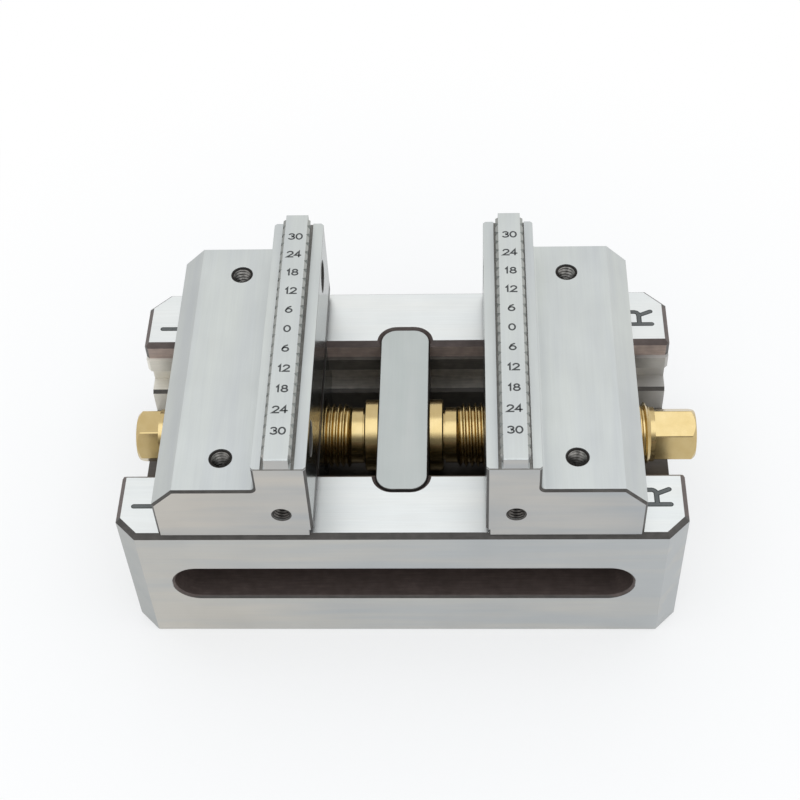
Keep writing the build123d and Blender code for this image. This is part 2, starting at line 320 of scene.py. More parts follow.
def base_steel():
    """Hardened tool steel: outer faces ground bright with fine lines, T-slot milled with a dark skin,
    and painted shade and light on the channel's walls, floor and edges.
    """
    material, tree = new_material("ground_tool_steel_with_skin_and_painted_shade")
    point = point_in_mm(tree)
    facts = surface_facts(tree, point)
    top_mm, side_mm, end_mm = rail_top / MM, base_high.y / MM, base_high.x / MM
    # Half the T-slot's width, its guide lips' top, and the undercut below the lips
    channel_half_mm, guide_top_mm, undercut_mm = 23.8, 35.5, (23.6, 31.6)
    clamp_slot_half_mm, clamp_slot_floor_mm, clamp_slot_reach_mm = 55.5, 28.0, 6.0
    clamp_slot_mm = mounts["front_clamp_slot"]["pos_m"][2] / MM

    tops = zone(tree, facts, z=(top_mm - 0.1, top_mm + 1), facing_z=SQUARE)
    underside = zone(tree, facts, z=(-0.1, 0.1))
    sides = zone(tree, facts, y=(side_mm - 0.1, side_mm + 6), facing_y=SQUARE)
    ends = zone(tree, facts, plane=(end_mm - 0.1, end_mm + 13), facing_z=ALONG)
    left_end = all_of(tree, ends, zone(tree, facts, place_x=(-80, -50)))
    clamp_slots = zone(
        tree,
        facts,
        x=(0, clamp_slot_half_mm),
        y=(clamp_slot_floor_mm, side_mm - 0.1),
        z=(clamp_slot_mm - clamp_slot_reach_mm, clamp_slot_mm + clamp_slot_reach_mm),
    )
    channel = zone(tree, facts, y=(0, channel_half_mm), z=(8, guide_top_mm))
    relief = zone(tree, facts, y=(0, channel_half_mm), z=(guide_top_mm, top_mm), facing_y=SQUARE)
    relief_edge = zone(tree, facts, y=(0, 33), z=(guide_top_mm, top_mm), facing_z=SLOPING)
    undercut = zone(tree, facts, z=undercut_mm)
    sloping = zone(tree, facts, facing_z=SLOPING)
    right_end = zone(tree, facts, place_x=(50, 80))
    low = zone(tree, facts, z=(0, 20))
    near = zone(tree, facts, place_y=(-30, 0))
    floor_in_shade = all_of(tree, zone(tree, facts, facing_z=SQUARE), any_of(tree, low, near))
    mouth = add(
        tree,
        "ShaderNodeMapRange",
        {"Value": facts["x"], "From Min": MOUTH_MM[0], "From Max": MOUTH_MM[1]},
    ).outputs["Result"]

    edge = skinned_or_shaded_face(tree, point, EDGE_SKIN_AND_SHADE, 0.42)
    slot_skin = skinned_or_shaded_face(tree, point, SLOT_SKIN, 0.42)
    # Painted light on the walls at the channel's two mouths
    lit_mouth_walls = layered(
        tree,
        skinned_or_shaded_face(tree, point, LEFT_MOUTH_LIGHT, 0.4, contrast=0.08),
        (right_end, skinned_or_shaded_face(tree, point, RIGHT_MOUTH_LIGHT, 0.4, contrast=0.08)),
    )
    channel_walls = layered(
        tree,
        skinned_or_shaded_face(tree, point, GUIDE_WALL_SHADED, 0.3),
        (undercut, skinned_or_shaded_face(tree, point, UNDERCUT_GREY, 0.3)),
        (mouth, lit_mouth_walls),
        (floor_in_shade, skinned_or_shaded_face(tree, point, SHADED_FLOOR, 0.35)),
        (sloping, edge),
    )
    shader = layered(
        tree,
        edge,
        # The relief's chamfer takes the slot's dark skin, partly skin and partly painted reflection like
        # the other chamfers
        (relief_edge, slot_skin),
        (relief, skinned_or_shaded_face(tree, point, RELIEF_SKIN, 0.5)),
        (channel, channel_walls),
        (any_of(tree, tops, underside), ground_face(tree, point, RAIL_TOP, 0.33, "X")),
        (any_of(tree, sides, ends), ground_face(tree, point, BASE_SIDE, 0.36, "X", lean=0.2)),
        (left_end, ground_face(tree, point, BASE_LEFT_END, 0.36, "Y")),
        (clamp_slots, slot_skin),
    )
    add(tree, "ShaderNodeOutputMaterial", {"Surface": shader})
    return material


def jaw_steel():
    """Hardened tool steel: ground all round to a silky grey, inner face polished; each face has its own
    grey as painted light and shade, with painted shade in the foot, stop bores, heel notch, step holes,
    bar groove and along the inner face's foot.
    """
    material, tree = new_material("ground_jaw_steel")
    point = point_in_mm(tree)
    facts = surface_facts(tree, point)
    inner_mm, side_mm = jaw_low.x / MM, jaw_high.y / MM
    ledge_mm = mounts["right_work_ledge"]["pos_m"][2] / MM
    bore_mm = mounts["right_stop_bores"]["pos_m"][2] / MM
    step_holes = mounts["right_step_holes"]
    hole_x_mm, step_top_mm = step_holes["pos_m"][0] / MM, step_holes["pos_m"][2] / MM
    hole_y_mm = step_holes["dims"]["spacing_y_mm"] / 2

    fronts = zone(tree, facts, facing_y=SQUARE)
    inner_face = zone(tree, facts, facing_x=(0.98, 1.1), x=(inner_mm - 0.1, inner_mm + 0.04))
    contact_line = all_of(tree, inner_face, zone(tree, facts, z=(42.3, 45.5)))
    bar_flanks = zone(tree, facts, facing_x=(0.5, 1.1), z=(ledge_mm + 0.02, ledge_mm + 4.4))
    bar_groove = zone(tree, facts, z=(ledge_mm - 0.5, ledge_mm - 0.02))
    broken_edges = zone(
        tree, facts, facing_y=SLOPING, y=(side_mm - 0.9, side_mm + 0.1), z=(40, ledge_mm - 0.7)
    )
    foot = zone(tree, facts, z=(0, 40.5), facing_x=(-0.1, 0.9))
    heel_notch = zone(
        tree, facts, z=(40, 42.5), x=(inner_mm + 0.05, inner_mm + 1.05), facing_y=(-0.1, 0.3)
    )
    step_hole_walls = zone(
        tree,
        facts,
        facing_z=(-0.1, 0.9),
        x=(hole_x_mm - 4.5, hole_x_mm + 4.5),
        y=(hole_y_mm - 5, hole_y_mm + 5),
        z=(44, step_top_mm - 0.02),
    )
    stop_bores = zone(
        tree,
        facts,
        facing_x=(-0.1, 0.95),
        x=(inner_mm + 0.05, inner_mm + 9.1),
        y=(0, side_mm - 0.5),
        z=(bore_mm - 4.3, bore_mm + 4.3),
    )

    shader = layered(
        tree,
        ground_face(tree, point, JAW_TOP, 0.42, "Y"),
        (fronts, ground_face(tree, point, JAW_FRONT, 0.4, "X", lean=0.25)),
        (inner_face, ground_face(tree, point, JAW_INNER_FACE, 0.2, "Y", line_depth=0.01)),
        (bar_flanks, ground_face(tree, point, BAR_FLANK, 0.4, "Y")),
        # Painted shade on the foot down in the channel and in the stop bores; on the broken edges the
        # dark is partly skin and partly painted reflection
        (any_of(tree, broken_edges, foot, stop_bores), skinned_or_shaded_face(tree, point, EDGE_SKIN_AND_SHADE, 0.4)),
        (bar_groove, skinned_or_shaded_face(tree, point, BAR_GROOVE_SHADE, 0.4)),
        (
            any_of(tree, heel_notch, step_hole_walls, contact_line),
            skinned_or_shaded_face(tree, point, DEEP_SHADE, 0.4),
        ),
    )
    add(tree, "ShaderNodeOutputMaterial", {"Surface": shader})
    return material


def block_steel():
    """Milled steel, dull all round, with a fine matt grind on top."""
    material, tree = new_material("matt_ground_block_steel")
    point = point_in_mm(tree)
    facts = surface_facts(tree, point)
    top = zone(tree, facts, z=(rail_top / MM - 0.2, rail_top / MM + 0.6), facing_z=SQUARE)
    shader = layered(
        tree,
        skinned_or_shaded_face(tree, point, EDGE_SKIN_AND_SHADE, 0.4),
        (top, ground_face(tree, point, BLOCK_TOP, 0.5, "Y", line_depth=0.1)),
    )
    add(tree, "ShaderNodeOutputMaterial", {"Surface": shader})
    return material


def gold_coating():
    """Turned steel under a thin gold coloured hard coating: glossy, with fine marks of the lathe."""
    material, tree = new_material("gold_hard_coated_steel")
    point = point_in_mm(tree)
    marks = tool_lines(tree, point, "Y", TURNING_LINES_MM)
    spots = add(
        tree, "ShaderNodeTexNoise", {"Vector": point, "Scale": 1 / COATING_SPOT_MM, "Detail": 3.0}
    ).outputs["Fac"]
    tint = add(
        tree,
        "ShaderNodeMix",
        {0: spots, 6: linear(GOLD_COATING[0]), 7: linear(GOLD_COATING[1])},
        data_type="RGBA",
    ).outputs[2]
    rough = add(
        tree, "ShaderNodeMapRange", {"Value": marks, "To Min": 0.16, "To Max": 0.30}
    ).outputs["Result"]
    relief = add(
        tree, "ShaderNodeBump", {"Height": marks, "Strength": 0.06, "Distance": LINE_DEPTH}
    ).outputs[0]
    shader = add(
        tree,
        "ShaderNodeBsdfPrincipled",
        {"Base Color": tint, "Metallic": 1.0, "Roughness": rough, "Normal": relief},
    ).outputs[0]
    add(tree, "ShaderNodeOutputMaterial", {"Surface": shader})
    return material


def tapped_steel(name, dull, bright):
    """Tapped steel: dark in the depth of its hole as painted shade, with a painted highlight where the
    thread's flanks look up, dulled in spots of oil.
    """
    material, tree = new_material(name)
    point = point_in_mm(tree)
    facts = surface_facts(tree, point)
    oil = add(
        tree, "ShaderNodeTexNoise", {"Vector": point, "Scale": 1 / OIL_SPOT_MM, "Detail": 3.0}
    ).outputs["Fac"]
    dry = add(
        tree, "ShaderNodeMapRange", {"Value": oil, "From Min": 0.3, "From Max": 0.6, "To Min": 0.5}
    ).outputs["Result"]
    lit_flanks = all_of(tree, zone(tree, facts, normal_z=SLOPING), dry)
    tint = add(
        tree, "ShaderNodeMix", {0: lit_flanks, 6: linear(dull), 7: linear(bright)}, data_type="RGBA"
    ).outputs[2]
    shader = add(
        tree, "ShaderNodeBsdfPrincipled", {"Base Color": tint, "Metallic": 1.0, "Roughness": 0.3}
    ).outputs[0]
    add(tree, "ShaderNodeOutputMaterial", {"Surface": shader})
    return material


def groove_paint_and_shade(name, colour):
    """Enamel wiped into an engraved groove, dull and slightly uneven; on the letters' edges its dark
    colour paints the shade of the groove's walls.
    """
    material, tree = new_material(name)
    point = point_in_mm(tree)
    grain = add(
        tree, "ShaderNodeTexNoise", {"Vector": point, "Scale": 1 / PAINT_GRAIN_MM, "Detail": 2.0}
    ).outputs["Fac"]
    shade = add(
        tree, "ShaderNodeMapRange", {"Value": grain, "To Min": 0.75, "To Max": 1.25}
    ).outputs["Result"]
    tinted = add(
        tree, "ShaderNodeVectorMath", {0: linear(colour)[:3], "Scale": shade}, operation="SCALE"
    ).outputs[0]
    shader = add(
        tree, "ShaderNodeBsdfPrincipled", {"Base Color": tinted, "Roughness": 0.6}
    ).outputs[0]
    add(tree, "ShaderNodeOutputMaterial", {"Surface": shader})
    return material


def black_oxide():
    """Screw steel with a dipped black oxide skin: nearly black, with an uneven half gloss."""
    material, tree = new_material("black_oxide_screw_steel")
    point = point_in_mm(tree)
    grain = add(
        tree, "ShaderNodeTexNoise", {"Vector": point, "Scale": 1 / OXIDE_GRAIN_MM, "Detail": 3.0}
    ).outputs["Fac"]
    rough = add(
        tree, "ShaderNodeMapRange", {"Value": grain, "To Min": 0.35, "To Max": 0.55}
    ).outputs["Result"]
    shader = add(
        tree,
        "ShaderNodeBsdfPrincipled",
        {"Base Color": linear(BLACK_OXIDE), "Metallic": 0.8, "Roughness": rough},
    ).outputs[0]
    add(tree, "ShaderNodeOutputMaterial", {"Surface": shader})
    return material


# Pieces

def place_piece(name, mesh, material, body):
    piece = bpy.data.objects.new(name, mesh)
    bpy.context.scene.collection.objects.link(piece)
    mesh.materials.append(material)
    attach(piece, body)
    return piece


def dress_node(node, material):
    for slot in frame["nodes"][node].material_slots:
        slot.material = material


# Turned and threaded forms

SMOOTH_BELOW = math.radians(25)
MERGE_BELOW = 0.002 * MM
DISSOLVE_BELOW = 0.001 * MM


def turned_mesh(name, rings, shares, turn_at=lambda x: 0.0, is_flat=lambda x: False):
    """A turned body along X. Each ring gives (x, radius) for a share of the way round.

    turn_at(x) is the angle of share 0, so that the corners of a hexagon fall on columns.
    is_flat(x) tells where the faces are shaded flat, as on a hexagon."""
    build = bmesh.new()
    shares = shares + [shares[0] + 1.0]
    grid = []
    for ring in rings:
        row = []
        for share in shares:
            x, radius = ring(share)
            angle = turn_at(x) + 2 * math.pi * share
            row.append(build.verts.new((x, radius * math.cos(angle), radius * math.sin(angle))))
        grid.append(row)
    for near, far in zip(grid, grid[1:]):
        for column in range(len(shares) - 1):
            build.faces.new((near[column], near[column + 1], far[column + 1], far[column]))
    bmesh.ops.remove_doubles(build, verts=build.verts, dist=MERGE_BELOW)
    bmesh.ops.dissolve_degenerate(build, edges=build.edges, dist=DISSOLVE_BELOW)
    loose = [vert for vert in build.verts if not vert.link_faces]
    bmesh.ops.delete(build, geom=loose, context="VERTS")
    bmesh.ops.recalc_face_normals(build, faces=build.faces)
    mesh = bpy.data.meshes.new(name)
    build.to_mesh(mesh)
    build.free()
    mesh.shade_smooth()
    mesh.set_sharp_from_angle(angle=SMOOTH_BELOW)
    for face in mesh.polygons:
        if is_flat(face.center.x):
            face.use_smooth = False
    return mesh


def plain_ring(x, radius):
    return lambda share: (x, radius)


def helix_rings(start, end, pitch, profile):
    """Rings of a right hand thread. profile lists (share of the pitch, radius) for one turn."""

    def ring(base_x, radius):
        return lambda share: (min(max(base_x + pitch * share, start), end), radius)

    turns = int((end - start) / pitch) + 3
    return [
        ring(start + (turn + offset) * pitch, radius)
        for turn in range(-1, turns)
        for offset, radius in profile
    ]


# Spindle

THREAD_PITCH = 1.5 * MM
THREAD_DEPTH = 0.92 * MM
CREST = 8.0 * MM
CREST_FLAT = 0.14
ROOT_FLAT = 0.24
COLLAR = (spindle_high.z - spindle_low.z) / 2
COLLAR_EDGE = 0.3 * MM
JOURNAL = 6.0 * MM
NECK = 7.0 * MM
GROOVE = 6.3 * MM
SHOULDER = 6.85 * MM
SHOULDER_LENGTH = 1.1 * MM
COLLAR_INNER = block_high.x + 0.05 * MM
COLLAR_OUTER = COLLAR_INNER + 3.6 * MM
GROOVE_WIDTH = 0.5 * MM
THREAD_START = 12.95 * MM
HEX_START = {1: 61.95 * MM, -1: 61.3 * MM}  # right and left, from the middle
HEX_ACROSS = 12.0 * MM
HEX_CHAMFER = 1.1 * MM
CENTRE_DRILL = 1.5 * MM
RIGHT_HEX_TURN, LEFT_HEX_TURN = math.radians(14.2), math.radians(1.3)

# Half the width of the turned land on each corner of the hexagon, as a share of a sixth of a turn
HEX_LAND = (math.radians(30) - math.acos(HEX_ACROSS / 2 / SHOULDER)) / math.radians(60)
FLAT_STEPS = 16
SPINDLE_SHARES = [
    (flat + HEX_LAND + (1 - 2 * HEX_LAND) * step / FLAT_STEPS) / 6
    for flat in range(6)
    for step in range(FLAT_STEPS + 1)
]


def hexagon_radius(share):
    """Radius of the hexagon, whose corners are turned down to the shoulder. Share 0 is a corner."""
    angle = (share * 6 % 1 - 0.5) * math.pi / 3
    return min(HEX_ACROSS / 2 / math.cos(angle), SHOULDER)


def hexagon_rings(start, end):
    """The hexagon from its shoulder to its outer end, which is turned to a 45 degree cone."""
    outward = 1 if end > start else -1

    def foot(share):
        return start + outward * 0.05 * MM, hexagon_radius(share)

    def cone_edge(share):
        radius = hexagon_radius(share)
        return end - outward * (HEX_CHAMFER - SHOULDER + radius), radius

    return [foot, cone_edge, plain_ring(end, SHOULDER - HEX_CHAMFER)]


def spindle_turn_at(x):
    """Column angle: each hexagon's own angle at its end, blended over the plain journal."""
    share = min(max((x / COLLAR_INNER + 1) / 2, 0.0), 1.0)
    return LEFT_HEX_TURN + (RIGHT_HEX_TURN - LEFT_HEX_TURN) * share


def on_hexagon(x):
    """True on the flat sides, between the shoulder and the turned end."""
    start, end = (HEX_START[1], spindle_high.x) if x > 0 else (HEX_START[-1], -spindle_low.x)
    return start < abs(x) < end - HEX_CHAMFER * 0.6


def spindle_thread_rings(thread_end):
    """A V thread between the neck and the shoulder, turned down at both ends."""
    flank = (1 - CREST_FLAT - ROOT_FLAT) / 2
    profile = [
        (0.0, CREST),
        (CREST_FLAT, CREST),
        (CREST_FLAT + flank, CREST - THREAD_DEPTH),
        (1 - flank, CREST - THREAD_DEPTH),
    ]

    def turned_down(ring):
        def at(share):
            x, radius = ring(share)
            return x, min(radius, NECK + (x - THREAD_START), SHOULDER + (thread_end - x))

        return at

    return [turned_down(ring) for ring in helix_rings(THREAD_START, thread_end, THREAD_PITCH, profile)]


def half_spindle_rings(side, hex_end):
    """Rings from the middle of the journal out to one end. side is 1 on the right and -1 on the left."""
    thread_end = HEX_START[side] - SHOULDER_LENGTH
    outline = [
        (0.0, JOURNAL),
        (COLLAR_INNER, JOURNAL),
        (COLLAR_INNER, COLLAR - COLLAR_EDGE),
        (COLLAR_INNER + COLLAR_EDGE, COLLAR),
        (COLLAR_OUTER - COLLAR_EDGE, COLLAR),
        (COLLAR_OUTER, COLLAR - COLLAR_EDGE),
        (COLLAR_OUTER, GROOVE),
        (COLLAR_OUTER + GROOVE_WIDTH, GROOVE),
        (COLLAR_OUTER + GROOVE_WIDTH, NECK),
        (THREAD_START, NECK),
    ]
    rings = [plain_ring(side * x, radius) for x, radius in outline]
    # A right hand thread on the right and its mirror image on the left
    for ring in spindle_thread_rings(thread_end):
        rings.append(lambda share, ring=ring: (side * ring(share)[0], ring(share)[1]))
    rings.append(plain_ring(side * thread_end, SHOULDER))
    rings.append(plain_ring(side * HEX_START[side], SHOULDER))
    rings += hexagon_rings(side * HEX_START[side], hex_end)
    rings.append(plain_ring(hex_end, CENTRE_DRILL))
    rings.append(plain_ring(hex_end - side * CENTRE_DRILL, 0.0))
    return rings


def build_spindle(material):
    """The spindle with its right hand thread at +X and its left hand thread at -X."""
    left = half_spindle_rings(-1, spindle_low.x)
    right = half_spindle_rings(1, spindle_high.x)
    mesh = turned_mesh(
        "spindle_threaded", left[::-1] + right[1:], SPINDLE_SHARES, spindle_turn_at, on_hexagon
    )
    mesh.transform(Matrix.Translation((0, 0, spindle_z)))
    piece = place_piece("spindle_threaded", mesh, material, "spindle")
    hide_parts("spindle")


# Tapped holes: a thin sleeve on the wall of each core hole, whose inner side is the thread

M6_PITCH, M6_RIDGE, M6_DEPTH = 1.0 * MM, 0.36 * MM, 13.9 * MM
M5_PITCH, M5_RIDGE, M5_DEPTH = 0.8 * MM, 0.3 * MM, 11.9 * MM

# How far the sleeve stays off the hole's wall and below its mouth, and how thick it is at the roots
SLEEVE_GAP = 0.005 * MM
SLEEVE_TOP = 0.3 * MM
SLEEVE_ROOT = 0.03 * MM
SLEEVE_COLUMNS = 48


def build_tapped_wall(name, mouth, axis, wall, ridge, pitch, depth, material, body):
    """mouth is the middle of the hole's opening, axis looks out of it, and wall is its core radius."""
    start, end = -depth, -SLEEVE_TOP
    skin, root = wall - SLEEVE_GAP, wall - SLEEVE_ROOT
    profile = ((0.0, root - ridge), (0.12, root - ridge), (0.48, root), (0.64, root))
    rings = [plain_ring(start, skin)]
    rings += helix_rings(start, end, pitch, profile)
    rings += [plain_ring(end, skin), plain_ring(start, skin)]
    mesh = turned_mesh(name, rings, [column / SLEEVE_COLUMNS for column in range(SLEEVE_COLUMNS)])
    turn = Vector((1, 0, 0)).rotation_difference(Vector(axis)).to_matrix().to_4x4()
    mesh.transform(Matrix.Translation(mouth) @ turn)
    place_piece(name, mesh, material, body)


def build_tapped_walls(step_material, end_material):
    for side in ("right", "left"):
        pattern = mounts[f"{side}_step_holes"]
        x, y, z = pattern["pos_m"]
        spacing = pattern["dims"]["spacing_y_mm"] * MM
        wall = pattern["dims"]["hole_r_mm"] * MM
        for end, way in (("front", -1), ("back", 1)):
            mouth = Vector((x, y + way * spacing / 2, z))
            build_tapped_wall(
                f"{side}_{end}_step_thread", mouth, (0, 0, 1), wall, M6_RIDGE, M6_PITCH,
                M6_DEPTH, step_material, f"{side}_jaw",
            )
            hole = mounts[f"{side}_{end}_end_hole"]
            mouth = Vector(hole["pos_m"])
            mouth.y = way * jaw_high.y
            build_tapped_wall(
                f"{side}_{end}_end_thread", mouth, hole["axis"], hole["dims"]["r_mm"] * MM,
                M5_RIDGE, M5_PITCH, M5_DEPTH, end_material, f"{side}_jaw",
            )


# Lettering: every stroke is a flat bar with round ends, sunk in the surface and a hair proud of it

SUNK = 0.05 * MM
NUMBER_PROUD = 0.008 * MM
LETTER_EDGE_PROUD = 0.008 * MM
LETTER_GROOVE_PROUD = 0.014 * MM

# Cosine that limits how far a mitred corner may reach
SHARPEST_MITRE = 0.35

# Lift of every other stroke, so that crossing strokes don't share a plane
STROKE_LIFT = 0.002 * MM

# Half widths of the strokes
NUMBER_STROKE = 0.205 * MM
LETTER_EDGE_STROKE = 0.64 * MM
LETTER_GROOVE_STROKE = 0.4 * MM

DIGIT_WIDTH, DIGIT_HEIGHT, DIGIT_GAP = 1.42 * MM, 1.85 * MM, 0.42 * MM

# The numbers stand a little further apart than the 6 mm that they name, as the photograph shows them
SCALE_PITCH = 6.1 * MM
SCALE_MIDDLE = 0.35 * MM


def arc(cx, cy, rx, ry, start, end, steps=14):
    return [
        (
            cx + rx * math.cos(math.radians(start + (end - start) * i / steps)),
            cy + ry * math.sin(math.radians(start + (end - start) * i / steps)),
        )
        for i in range(steps + 1)
    ]


# Strokes of each digit, as shares of its width and height
DIGITS = {
    "0": [arc(0.5, 0.5, 0.5, 0.5, 90, 450, 24)],
    "1": [[(0.15, 0.76), (0.42, 1.0), (0.42, 0.0)]],
    "2": [arc(0.5, 0.72, 0.46, 0.28, 165, -38) + [(0.0, 0.0), (1.0, 0.0)]],
    "3": [arc(0.47, 0.76, 0.43, 0.24, 150, -90) + arc(0.47, 0.26, 0.5, 0.26, 90, -150)],
    "4": [[(0.72, 0.0), (0.72, 1.0), (0.0, 0.3), (1.02, 0.3)]],
    "6": [[(0.78, 1.0), (0.3, 0.82)] + arc(0.5, 0.31, 0.5, 0.31, 150, 510, 24)],
    "8": [arc(0.5, 0.76, 0.38, 0.24, -90, 270, 20), arc(0.5, 0.26, 0.48, 0.26, 90, 450, 20)],
}
NARROW = {"1": 0.62}

# Strokes of the two letters in millimetres, from the foot of their stem
LETTERS = {
    "L": [[(0.0, 8.0), (0.0, 0.0), (4.1, 0.0)]],
    "R": [
        [(0.0, 0.0), (0.0, 8.0)],
        [(0.0, 8.0), (3.0, 8.0)]
        + arc(3.0, 6.8, 1.2, 1.2, 75, 0)
        + arc(3.0, 4.3, 1.2, 1.2, 0, -90)
        + [(0.0, 3.1)],
        [(3.0, 3.15), (4.35, 0.1)],
    ],
}

# Where the foot of each letter's stem stands, in millimetres. They read from the right.
LETTER_FEET_MM = {
    ("R", "back"): (62.85, 26.7),
    ("R", "front"): (62.9, -30.0),
    ("L", "back"): (-54.7, 26.2),
    ("L", "front"): (-55.0, -30.15),
}


def stroke_sides(points, closed, half_width):
    """The left and the right side of a polyline, mitred at its corners."""
    ways = [(there - here).normalized() for here, there in zip(points, points[1:])]
    if closed:
        ways.append((points[0] - points[-1]).normalized())
        before, after = ways[-1:] + ways[:-1], ways
    else:
        before, after = ways[:1] + ways, ways + ways[-1:]
    left, right = [], []
    for point, way_in, way_out in zip(points, before, after):
        normal_in, normal_out = Vector((-way_in.y, way_in.x)), Vector((-way_out.y, way_out.x))
        bisector = (normal_in + normal_out).normalized()
        reach = half_width / max(bisector.dot(normal_out), SHARPEST_MITRE)
        left.append(point + bisector * reach)
        right.append(point - bisector * reach)
    return left, right


def round_end(centre, outward, half_width, steps=8):
    """Points of a half circle round the end of a stroke, from its left side to its right."""
    base = math.atan2(outward.x, -outward.y)
    turns = [base - math.pi * k / steps for k in range(1, steps)]
    return [centre + half_width * Vector((math.cos(turn), math.sin(turn))) for turn in turns]


def add_walls(build, bottom, top):
    for i in range(len(bottom)):
        j = (i + 1) % len(bottom)
        build.faces.new((bottom[i], bottom[j], top[j], top[i]))


def add_stroke(build, points, half_width, low, high):
    """One closed prism along a polyline on the XY plane, with round ends and mitred corners."""
    points = [Vector(p) for p in points]
    closed = (points[0] - points[-1]).length < 1e-9
    if closed:
        points = points[:-1]
    left, right = stroke_sides(points, closed, half_width)
    if closed:
        levels = [
            [[build.verts.new((p.x, p.y, z)) for p in side] for side in (left, right)]
            for z in (low, high)
        ]
        for inner, outer in levels:
            add_walls(build, inner, outer)
        for bottom, top in zip(*levels):
            add_walls(build, bottom, top)
        return
    outline = left + round_end(points[-1], points[-1] - points[-2], half_width)
    outline += right[::-1] + round_end(points[0], points[0] - points[1], half_width)
    bottom = [build.verts.new((p.x, p.y, low)) for p in outline]
    top = [build.verts.new((p.x, p.y, high)) for p in outline]
    build.faces.new(bottom[::-1])
    build.faces.new(top)
    add_walls(build, bottom, top)


def lettering_mesh(name, strokes, half_width, surface, proud):
    build = bmesh.new()
    for index, stroke in enumerate(strokes):
        lift = index % 2 * STROKE_LIFT
        add_stroke(build, stroke, half_width, surface - SUNK, surface + proud + lift)
    bmesh.ops.triangulate(build, faces=build.faces)
    bmesh.ops.recalc_face_normals(build, faces=build.faces)
    mesh = bpy.data.meshes.new(name)
    build.to_mesh(mesh)
    build.free()
    return mesh


def number_strokes(text, centre):
    """Strokes of a number whose middle is at centre, read from the front."""
    widths = [DIGIT_WIDTH * NARROW.get(digit, 1.0) for digit in text]
    x = centre.x - (sum(widths) + DIGIT_GAP * (len(text) - 1)) / 2
    strokes = []
    for digit, wide in zip(text, widths):
        for stroke in DIGITS[digit]:
            strokes.append(
                [(x + u * DIGIT_WIDTH, centre.y + (v - 0.5) * DIGIT_HEIGHT) for u, v in stroke]
            )
        x += wide + DIGIT_GAP
    return strokes


def build_bar_scale(side, material):
    """Millimetre numbers from 30 to 30 along the gripping bar of one jaw."""
    way = 1 if side == "right" else -1
    strokes = []
    for step in range(-5, 6):
        middle = Vector((way * bar_x, SCALE_MIDDLE + step * SCALE_PITCH))
        strokes += number_strokes(str(abs(step) * 6), middle)
    name = f"{side}_bar_numbers"
    mesh = lettering_mesh(name, strokes, NUMBER_STROKE, jaw_high.z, NUMBER_PROUD)
    place_piece(name, mesh, material, f"{side}_jaw")


def build_rail_letters(edge_material, groove_material):
    """R at the right end of both rails and L at their left end, each a groove whose darker edge is
    painted shade on its walls.
    """
    parts = (
        ("edge", LETTER_EDGE_STROKE, LETTER_EDGE_PROUD, edge_material),
        ("groove", LETTER_GROOVE_STROKE, LETTER_GROOVE_PROUD, groove_material),
    )
    for (letter, rail), (x, y) in LETTER_FEET_MM.items():
        strokes = [[((x - v) * MM, (y + u) * MM) for u, v in stroke] for stroke in LETTERS[letter]]
        for part, half_width, proud, material in parts:
            name = f"{rail}_rail_{letter}_{part}"
            mesh = lettering_mesh(name, strokes, half_width, rail_top, proud)
            place_piece(name, mesh, material, "base")


# Floor, light and camera

FLOOR_HALF = 3.0

# Distances between which the shadow on the floor fades, and the white that it has even close by
SHADOW_FADE = (0.08, 0.2)
NEAR_WHITE = 0.55

# The flag is a dark panel that glossy steel sees above the front of the table
FLAG_WAY = Vector((0.0, -0.89, 0.46)).normalized()
FLAG_RIM = (0.9, 0.985)
FLAG_LIGHT = 0.2

# Gloss sees less light from the far left, between these shares of a look straight to the right
LEFT_FADE = (-0.9, -0.35)
LEFT_LIGHT = 0.62

SOFTBOX_PLACE = (0.0, -0.12, 0.7)
SOFTBOX_SIZE = (0.9, 0.64)
SOFTBOX_WATTS = 1.5
SOFTBOX_COLOUR = (0.94, 1.0, 1.08)

# Fitted to the photograph by the base's corners, the gripping bars and the scale's numbers
CAMERA_PLACE = (0.01572, -0.25014, 0.34429)
CAMERA_RIGHT = Vector((0.9991, 0.0225, -0.0359))
CAMERA_UP = Vector((0.0056, 0.7698, 0.6383))
CAMERA_FORWARD = Vector((-0.0420, 0.6379, -0.7689))
CAMERA_LENS = 72.02


def build_floor():
    """A pale floor that keeps the vise's shadow close by and turns plain white further off."""
    corners = [(x * FLOOR_HALF, y * FLOOR_HALF, 0) for x, y in ((-1, -1), (1, -1), (1, 1), (-1, 1))]
    mesh = bpy.data.meshes.new("floor")
    mesh.from_pydata(corners, [], [(0, 1, 2, 3)])
    floor = bpy.data.objects.new("floor", mesh)
    bpy.context.scene.collection.objects.link(floor)
    material, tree = new_material("pale_floor")
    place = add(tree, "ShaderNodeTexCoord").outputs["Object"]
    distance = add(tree, "ShaderNodeVectorMath", {0: place}, operation="LENGTH").outputs["Value"]
    far = add(
        tree,
        "ShaderNodeMapRange",
        {
            "Value": distance,
            "From Min": SHADOW_FADE[0],
            "From Max": SHADOW_FADE[1],
            "To Min": NEAR_WHITE,
        },
        interpolation_type="SMOOTHSTEP",
    ).outputs["Result"]
    paths = add(tree, "ShaderNodeLightPath")
    seen = any_of(
        tree,
        paths.outputs["Is Camera Ray"],
        paths.outputs["Is Glossy Ray"],
        paths.outputs["Is Transmission Ray"],
    )
    white = add(tree, "ShaderNodeEmission", {"Color": linear("#ffffff"), "Strength": 1.0}).outputs[0]
    paper = add(
        tree, "ShaderNodeBsdfPrincipled", {"Base Color": linear("#f7f7f6"), "Roughness": 0.9}
    ).outputs[0]
    shader = layered(tree, paper, (all_of(tree, seen, far), white))
    add(tree, "ShaderNodeOutputMaterial", {"Surface": shader})
    mesh.materials.append(material)


